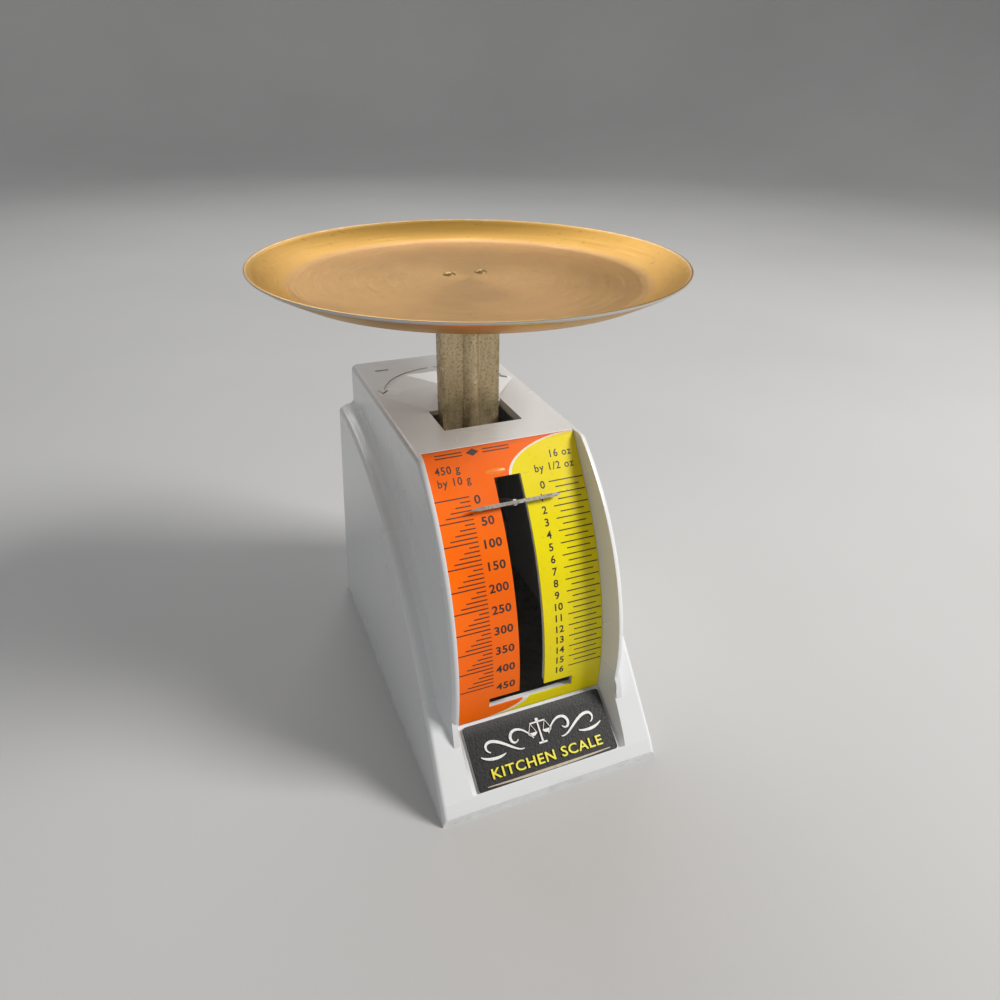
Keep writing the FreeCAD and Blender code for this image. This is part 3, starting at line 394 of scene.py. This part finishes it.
def tube(path, radius, sides):
    """Vertices and faces of a round bar along points, with flat ends."""
    vertices, faces = [], []
    points = [Vector(p) for p in path]
    side = None
    for i, p in enumerate(points):
        ahead = (points[min(i + 1, len(points) - 1)] - points[max(i - 1, 0)]).normalized()
        if side is None:
            side = ahead.orthogonal().normalized()
        side = (side - ahead * side.dot(ahead)).normalized()
        other = ahead.cross(side)
        for k in range(sides):
            t = tau * k / sides
            vertices.append(p + radius * (side * cos(t) + other * sin(t)))
    for i in range(len(points) - 1):
        for k in range(sides):
            a, b = i * sides + k, i * sides + (k + 1) % sides
            faces.append((a, b, b + sides, a + sides))
    faces.append(tuple(range(sides)))
    faces.append(tuple((len(points) - 1) * sides + k for k in range(sides)))
    return vertices, faces


def solid_from_outline(outline, to_surface, thickness):
    """A closed slab over a flat outline (points, faces), laid on a surface and sunk a little into it."""
    points, polygons = outline
    count = len(points)
    vertices = [to_surface(u, v, lift) for lift in (thickness, -SLAB_SINK) for u, v in points]
    faces = [tuple(f) for f in polygons] + [tuple(count + i for i in reversed(f)) for f in polygons]
    uses = {}
    for f in polygons:
        for a, b in zip(f, tuple(f[1:]) + (f[0],)):
            uses.setdefault(frozenset((a, b)), []).append((a, b))
    for sides in uses.values():
        if len(sides) == 1:
            a, b = sides[0]
            faces.append((b, a, a + count, b + count))
    return vertices, faces


def strip(x0, x1, v, half, steps=8):
    """Flat bar from x0 to x1 at height v."""
    points, faces = [], []
    for i in range(steps + 1):
        x = x0 + (x1 - x0) * i / steps
        points += [(x, v - half), (x, v + half)]
    for i in range(steps):
        faces.append((2 * i, 2 * i + 2, 2 * i + 3, 2 * i + 1))
    return points, faces


def join_outlines(parts):
    points, faces = [], []
    for part_points, part_faces in parts:
        base = len(points)
        points += part_points
        faces += [tuple(base + i for i in f) for f in part_faces]
    return points, faces


def text_outline(words, height, width, bold, align="CENTER", spacing=1.0):
    """The words as a flat mesh, height in millimetres, middle or side at the origin, standing on v = 0."""
    curve = bpy.data.curves.new("lettering", "FONT")
    curve.body = words
    curve.align_x = align
    curve.offset = bold
    curve.space_character = spacing
    curve.resolution_u = 3
    holder = bpy.data.objects.new("lettering", curve)
    mesh = bpy.data.meshes.new_from_object(holder)
    scale = height / CAP_HEIGHT
    points = [(v.co.x * scale * width, v.co.y * scale) for v in mesh.vertices]
    faces = [tuple(p.vertices) for p in mesh.polygons]
    bpy.data.objects.remove(holder)
    bpy.data.curves.remove(curve)
    bpy.data.meshes.remove(mesh)
    return points, faces


def moved(outline, du, dv):
    points, faces = outline
    return [(u + du, v + dv) for u, v in points], faces


# ---------------------------------------------------------------- dial
def dial_surface(x, up, lift):
    """A point over the dial: up is in millimetres along the surface from the pivot's height."""
    radius = DIAL_RADIUS + lift
    top = radians(DIAL_ARC_TOP)
    angle = up / DIAL_RADIUS
    if angle <= top:
        return (x, PIVOT_Y - radius * cos(angle), PIVOT_Z + radius * sin(angle))
    extra = up - top * DIAL_RADIUS
    return (x, PIVOT_Y - radius * cos(top) + extra * sin(top), PIVOT_Z + radius * sin(top) + extra * cos(top))


def along(angle_deg):
    return radians(angle_deg) * DIAL_RADIUS


def gram_angle(grams):
    return GRAM_ZERO + (GRAM_FULL - GRAM_ZERO) * grams / GRAMS


def ounce_angle(ounces):
    return gram_angle(ounces * GRAMS_PER_OUNCE)


def printed(name, outline):
    vertices, faces = solid_from_outline(outline, dial_surface, PRINT_LIFT)
    place_mesh(name, vertices, faces, INK, "root")


def print_gram_ticks():
    """A long line at every 50 g, and between them four that grow like a stair."""
    start, long_end = -13.0, -DIAL_EDGE + 0.5
    first_length, stair_step = 1.2875, 1.75
    ticks = []
    for grams in range(0, GRAMS + 1, 10):
        stair = (grams % 50) // 10
        end = start - first_length - stair_step * stair if stair else long_end
        ticks.append(strip(start, end, along(gram_angle(grams)), LINE_HALF))
    printed("gram_ticks", join_outlines(ticks))


def print_ounce_ticks():
    """A long line at every ounce and a short one at every half."""
    whole_line = (12.6, DIAL_EDGE - 0.3)
    half_line = (14.4, DIAL_EDGE - 2.0)
    ticks = []
    for half_ounces in range(0, 2 * OUNCES + 1):
        start, end = half_line if half_ounces % 2 else whole_line
        ticks.append(strip(start, end, along(ounce_angle(half_ounces / 2)), LINE_HALF))
    printed("ounce_ticks", join_outlines(ticks))


def print_numbers(name, numbers, angle_of, drop, columns, size, lettering):
    """Numbers a little below their lines; the zero has a column of its own."""
    width, bold, spacing = lettering
    zero_x, other_x = columns
    numerals = []
    for number in numbers:
        v = along(angle_of(number) - drop) - size / 2
        numeral = text_outline(str(number), size, width, bold, spacing=spacing)
        numerals.append(moved(numeral, other_x if number else zero_x, v))
    printed(name, join_outlines(numerals))


def print_units():
    size, width, bold, spacing = 2.3, 0.92, 0.014, 1.15
    left, right = -21.6, 22.0
    rows = (("450 g", "LEFT", left, 43.15), ("by 10 g", "LEFT", left, 40.95),
            ("16 oz", "RIGHT", right, 43.0), ("by 1/2 oz", "RIGHT", right, 40.7))
    words = [moved(text_outline(word, size, width, bold, side, spacing), x, along(angle))
             for word, side, x, angle in rows]
    printed("unit_marks", join_outlines(words))


def print_heading():
    """A plain double rule with a diamond in its middle."""
    x, v = -9.2, along(46.3)
    diamond_x, diamond_v = 2.0, 1.1
    gap, reach, apart = 3.2, 11.6, 0.45
    corners = [(x - diamond_x, v), (x, v - diamond_v), (x + diamond_x, v), (x, v + diamond_v)]
    diamond = (corners, [(0, 1, 2, 3)])
    rules = [strip(start, end, v + side * apart, LINE_HALF)
             for start, end in ((x - reach, x - gap), (x + gap, x + reach)) for side in (-1, 1)]
    printed("heading_rule", join_outlines(rules + [diamond]))


def make_dial_print():
    print_gram_ticks()
    print_ounce_ticks()
    print_numbers("gram_numbers", range(0, GRAMS + 1, 50), gram_angle, 0.7, (-10.7, -8.9),
                  2.55, (1.08, 0.022, 1.08))
    print_numbers("ounce_numbers", range(0, OUNCES + 1), ounce_angle, 0.35, (10.4, 9.3),
                  2.3, (0.98, 0.020, 1.04))
    print_units()
    print_heading()


def make_label_pimple():
    """Small long swelling in the label beside the slot's top."""
    rows, turns = 6, 24
    mid_x, mid_v, half_x, half_v, height = -3.4, along(42.25), 3.2, 0.85, 0.35
    vertices = []
    for i in range(rows + 1):
        t = i / rows
        for k in range(turns):
            a = tau * k / turns
            x = mid_x + half_x * t * cos(a)
            v = mid_v + half_v * t * sin(a)
            vertices.append(dial_surface(x, v, height * (1 - t * t) ** 1.5 + 0.005))
    faces = []
    for i in range(rows):
        for k in range(turns):
            a, b = i * turns + k, i * turns + (k + 1) % turns
            faces.append((a, b, b + turns, a + turns))
    base = len(vertices)
    for k in range(turns):
        a = tau * k / turns
        vertices.append(dial_surface(mid_x + half_x * cos(a), mid_v + half_v * sin(a), -0.05))
    for k in range(turns):
        a, b = rows * turns + k, rows * turns + (k + 1) % turns
        faces.append((a, b, base + (k + 1) % turns, base + k))
    faces.append(tuple(base + k for k in reversed(range(turns))))
    place_mesh("label_pimple", vertices, faces, BUMP_ORANGE, "root", smooth=60)


# ---------------------------------------------------------------- name plate relief
PLATE_TOP_Y, PLATE_TOP_Z = -46.6, 18.3
PLATE_LOW_Y, PLATE_LOW_Z = -62.5, 6.8


def plate_surface(x, up, lift):
    """A point over the name plate: up is in millimetres from its bottom edge."""
    dy, dz = PLATE_TOP_Y - PLATE_LOW_Y, PLATE_TOP_Z - PLATE_LOW_Z
    length = sqrt(dy * dy + dz * dz)
    return (x, PLATE_LOW_Y + (up * dy - lift * dz) / length, PLATE_LOW_Z + (up * dz + lift * dy) / length)


def stroke(points, half_start, half_end, steps=40):
    """Ribbon along a smooth curve through control points, swelling in the middle."""
    curve = [Vector((*p, 0.0)) for p in points]
    spine = []
    for i in range(steps + 1):
        t = i / steps
        level = curve
        while len(level) > 1:
            level = [a.lerp(b, t) for a, b in zip(level, level[1:])]
        spine.append(level[0])
    flat, faces = [], []
    for i, p in enumerate(spine):
        ahead = (spine[min(i + 1, steps)] - spine[max(i - 1, 0)]).normalized()
        side = Vector((-ahead.y, ahead.x, 0.0))
        t = i / steps
        half = half_start + (half_end - half_start) * t + 0.30 * sin(pi * t)
        flat += [tuple((p - side * half)[:2]), tuple((p + side * half)[:2])]
    for i in range(steps):
        faces.append((2 * i, 2 * i + 2, 2 * i + 3, 2 * i + 1))
    return flat, faces


def disc(mid_u, mid_v, radius, turns=28):
    turn = [tau * k / turns for k in range(turns)]
    return [(mid_u + radius * cos(a), mid_v + radius * sin(a)) for a in turn], [tuple(range(turns))]


def mirrored_outline(outline):
    points, faces = outline
    return [(-u, v) for u, v in points], [tuple(reversed(f)) for f in faces]


def relief(name, outline, material, height):
    vertices, faces = solid_from_outline(outline, plate_surface, height)
    place_mesh(name, vertices, faces, material, "root")


def make_plate_relief():
    """Scrolls and a small balance in white, the kind of object in yellow, and a thin beige line along the
    bottom edge.
    """
    scrolls = []
    for points in (((2.6, 10.6), (6.0, 16.6), (11.0, 16.2), (11.6, 11.4), (9.0, 9.6), (7.6, 11.6)),
                   ((6.4, 8.6), (10.0, 7.6), (14.0, 15.6), (19.0, 15.4), (19.8, 11.2), (17.2, 10.2)),
                   ((12.6, 8.8), (15.0, 7.8), (18.4, 8.0), (20.6, 9.6))):
        scroll = stroke(points, 0.14, 0.14)
        scrolls += [scroll, mirrored_outline(scroll)]
    foot, beam, bowl_top, thin = 8.6, 15.0, 12.2, 0.09
    pillar = ([(-0.3, foot), (0.3, foot), (0.22, beam), (-0.22, beam)], [(0, 1, 2, 3)])
    balance = [strip(-2.6, 2.6, beam, 0.22), strip(-1.4, 1.4, foot, 0.28), pillar, disc(0, beam + 0.7, 0.55)]
    for side in (-1, 1):
        hang = side * 2.5
        under = [pi + pi * k / 10 for k in range(11)]
        bowl = [(hang + 1.5 * cos(a), bowl_top + 1.1 * sin(a)) for a in under]
        balance.append((bowl, [tuple(range(len(under)))]))
        for reach in (-1.3, 1.3):
            low = hang + reach
            cord = [(hang - thin, beam), (hang + thin, beam), (low + thin, bowl_top), (low - thin, bowl_top)]
            balance.append((cord, [(0, 1, 2, 3)]))
    white_height, edge_line_height, word_height = 0.42, 0.06, 0.5
    relief("plate_scrolls", join_outlines(scrolls), RELIEF_WHITE, white_height)
    relief("plate_balance", join_outlines(balance), RELIEF_WHITE, white_height)
    words = text_outline("KITCHEN SCALE", 3.0, 1.12, 0.012, spacing=1.10)
    # a thin beige line along the plate's bowed bottom edge
    edge_line = stroke(((-21.0, 0.95), (0.0, 0.25), (21.0, 0.95)), 0.12, 0.12)
    relief("plate_edge_line", edge_line, EDGE_LINE_BEIGE, edge_line_height)
    relief("plate_words", moved(words, 0.0, 2.6), RELIEF_YELLOW, word_height)


# ---------------------------------------------------------------- marks in the top
def make_top_marks():
    """Raised arrows that show which way the zero adjuster turns, with plus and minus."""
    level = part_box("housing")[1].z / MM
    centre_y, radius, half = 27.8, 23.2, 0.55
    start, end, steps = radians(93), radians(163), 30
    head_half, tip = 1.7, end + radians(7)
    sign_x, sign_y, mark_height = 17.5, 54.0, 0.35
    long, thin = 2.4, 0.5
    parts = []

    def surface(x, y, lift):
        return (x, y, level + lift)

    for side in (-1, 1):
        points, faces = [], []
        for i in range(steps + 1):
            a = start + (end - start) * i / steps
            for r in (radius - half, radius + half):
                points.append((-side * r * cos(a), centre_y + r * sin(a)))
        for i in range(steps):
            faces.append((2 * i, 2 * i + 2, 2 * i + 3, 2 * i + 1))
        parts.append((points, faces))
        corners = ((radius, tip), (radius - head_half, end), (radius + head_half, end))
        head = [(-side * r * cos(a), centre_y + r * sin(a)) for r, a in corners]
        parts.append((head, [(0, 1, 2)]))
    for x, half_x, half_y in ((-sign_x, long, thin), (sign_x, long, thin), (sign_x, thin, long)):
        around = ((-1, -1), (1, -1), (1, 1), (-1, 1))
        parts.append(([(x + i * half_x, sign_y + j * half_y) for i, j in around], [(0, 1, 2, 3)]))
    for k, part in enumerate(parts):
        vertices, faces = solid_from_outline(part, surface, mark_height)
        place_mesh("top_mark_%d" % k, vertices, faces, LOOKS["housing"], "root")


# ---------------------------------------------------------------- pan
def make_pan():
    """Spun dish with a rolled lip, replacing the plain one."""
    low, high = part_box("pan")
    mid_y = (low.y + high.y) / 2 / MM
    rim_z, rim_r = high.z / MM, high.x / MM
    sheet = 0.8
    floor_z = low.z / MM + sheet
    inside = [(0.0, 0.0), (20.0, 0.0), (40.0, 0.0), (49.6, 0.0), (51.2, 0.10), (52.6, 0.42), (54.2, 0.86),
              (58.0, 2.75), (61.6, 4.65)]
    lip = [(rim_r - 0.62, rim_z - 0.06), (rim_r - 0.34, rim_z), (rim_r - 0.06, rim_z - 0.12),
           (rim_r, rim_z - 0.42), (rim_r - 0.22, rim_z - 0.74)]
    outside = [(61.8, 3.85), (58.3, 1.98), (54.6, 0.10), (52.8, -0.36), (51.0, -0.74), (49.6, -sheet),
               (40.0, -sheet), (20.0, -sheet), (0.0, -sheet)]
    profile = [(r, floor_z + z) for r, z in inside] + lip + [(r, floor_z + z) for r, z in outside]
    turns = 256
    vertices, faces = [], []
    for r, z in profile[1:-1]:
        for k in range(turns):
            a = tau * k / turns
            vertices.append((r * cos(a), mid_y + r * sin(a), z))
    for i in range(len(profile) - 3):
        for k in range(turns):
            a, b = i * turns + k, i * turns + (k + 1) % turns
            faces.append((a, b, b + turns, a + turns))
    for row, (r, z) in ((0, profile[0]), (len(profile) - 3, profile[-1])):
        vertices.append((r, mid_y, z))
        hub = len(vertices) - 1
        for k in range(turns):
            faces.append((row * turns + k, row * turns + (k + 1) % turns, hub))
    piece = place_mesh("pan_dish", vertices, faces, LOOKS["pan_gold"], "pan_column", smooth=50)
    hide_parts("pan")


# ---------------------------------------------------------------- spring
def make_spring():
    """Close-wound extension spring with a hook at each end, between the hook bar and the lever's pin."""
    low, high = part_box("main_spring")
    axis_y = (low.y + high.y) / 2 / MM
    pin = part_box("spring_pin")
    pin_z = (pin[0].z + pin[1].z) / 2 / MM
    pin_radius, clearance = 1.2, 0.08
    bar_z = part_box("spring_hook")[0].z / MM + 1.6
    bar_reach = 2.25
    bottom, top = low.z / MM, high.z / MM
    wire, coil = 0.36, high.x / MM - 0.42
    turns, per_turn, run_out = 20, 24, 12

    def loop(hold_z, reach, up):
        """Side loop from the coil round a pin at this height; the wire's middle is at this reach."""
        points = []
        for i in range(15):
            t = radians(-70 + 320 * i / 14)
            points.append((0.0, axis_y + reach * sin(t) * 0.95, hold_z + up * reach * cos(t)))
        return points

    path = loop(pin_z, pin_radius + clearance + wire, -1)[::-1]
    steps = turns * per_turn
    for i in range(steps + 1):
        t = tau * turns * i / steps
        radius = coil * min(1.0, i / run_out, (steps - i) / run_out)
        path.append((radius * sin(t), axis_y + radius * cos(t), bottom + (top - bottom) * i / steps))
    path += loop(bar_z, bar_reach, 1)
    vertices, faces = tube(path, wire, 8)
    piece = place_mesh("spring_coil", vertices, faces, LOOKS["spring"], None, smooth=60)
    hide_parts("main_spring")
    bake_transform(piece)


# ---------------------------------------------------------------- CAD nodes
def dress_nodes():
    """The CAD nodes keep their shape and get the look of the same name."""
    for node in frame["nodes"].values():
        for material_slot in node.material_slots:
            material_slot.material = LOOKS[material_slot.material.name.split(".")[0]]


# ---------------------------------------------------------------- stage, light, camera
def make_stage():
    """Round floor that curves up into a plain wall all round."""
    flat, bend, wall, turns = 1.5, 0.7, 0.8, 96
    rows = [(flat * share, 0.0) for share in (0.25, 0.5, 0.75, 1.0)]
    for k in range(1, 13):
        a = radians(90 * k / 12)
        rows.append((flat + bend * sin(a), bend * (1 - cos(a))))
    rows.append((flat + bend, bend + wall))
    around = [tau * k / turns for k in range(turns)]
    vertices = [(r * cos(a), r * sin(a), z) for r, z in rows for a in around]
    faces = [tuple(range(turns))]
    for i in range(len(rows) - 1):
        for k in range(turns):
            a, b = i * turns + k, i * turns + (k + 1) % turns
            faces.append((a, a + turns, b + turns, b))
    mesh = bpy.data.meshes.new("floor")
    mesh.from_pydata(vertices, [], faces)
    mesh.materials.append(pale_floor())
    shade(mesh, 40)
    floor = bpy.data.objects.new("floor", mesh)
    bpy.context.scene.collection.objects.link(floor)


def area_light(name, place, target, size, watts, colour=(1.0, 1.0, 1.0)):
    data = bpy.data.lights.new(name, "AREA")
    data.shape = "RECTANGLE"
    data.size, data.size_y = size
    data.energy = watts
    data.color = colour
    light = bpy.data.objects.new(name, data)
    light.location = place
    light.rotation_euler = (Vector(target) - Vector(place)).to_track_quat("-Z", "Y").to_euler()
    bpy.context.scene.collection.objects.link(light)


def make_lights():
    world = bpy.data.worlds.new("studio")
    world.use_nodes = True
    background = world.node_tree.nodes["Background"]
    background.inputs["Color"].default_value = (0.92, 0.95, 1.0, 1.0)
    background.inputs["Strength"].default_value = 0.30
    bpy.context.scene.world = world
    middle = (0.0, 0.0, 0.07)
    area_light("key", (0.80, -0.50, 0.85), middle, (0.40, 0.40), 14.5, (1.0, 0.985, 0.96))
    area_light("fill", (-0.8, -0.7, 0.5), middle, (0.9, 0.9), 0.6, (0.93, 0.96, 1.0))
    area_light("back", (0.1, 0.9, 0.9), middle, (0.9, 0.6), 4.0)


def make_camera():
    yaw, pitch, roll = radians(22.91), radians(30.02), radians(0.97)
    place = Vector((-78.41, -203.06, 195.46)) * MM
    ahead = Vector((sin(yaw) * cos(pitch), cos(yaw) * cos(pitch), -sin(pitch)))
    level = Vector((cos(yaw), -sin(yaw), 0.0))
    up = level.cross(ahead)
    right = cos(roll) * level + sin(roll) * up
    upright = -sin(roll) * level + cos(roll) * up
    turn = Matrix((right, upright, -ahead)).transposed()
    data = bpy.data.cameras.new("camera")
    data.sensor_width = 36.0
    data.lens = 27.06
    data.clip_start = 0.01
    camera = bpy.data.objects.new("camera", data)
    camera.matrix_world = Matrix.Translation(place) @ turn.to_4x4()
    bpy.context.scene.collection.objects.link(camera)
    bpy.context.scene.camera = camera


dress_nodes()
make_dial_print()
make_label_pimple()
make_plate_relief()
make_top_marks()
make_pan()
make_spring()
make_stage()
make_lights()
make_camera()
bpy.context.scene.view_settings.view_transform = "Standard"
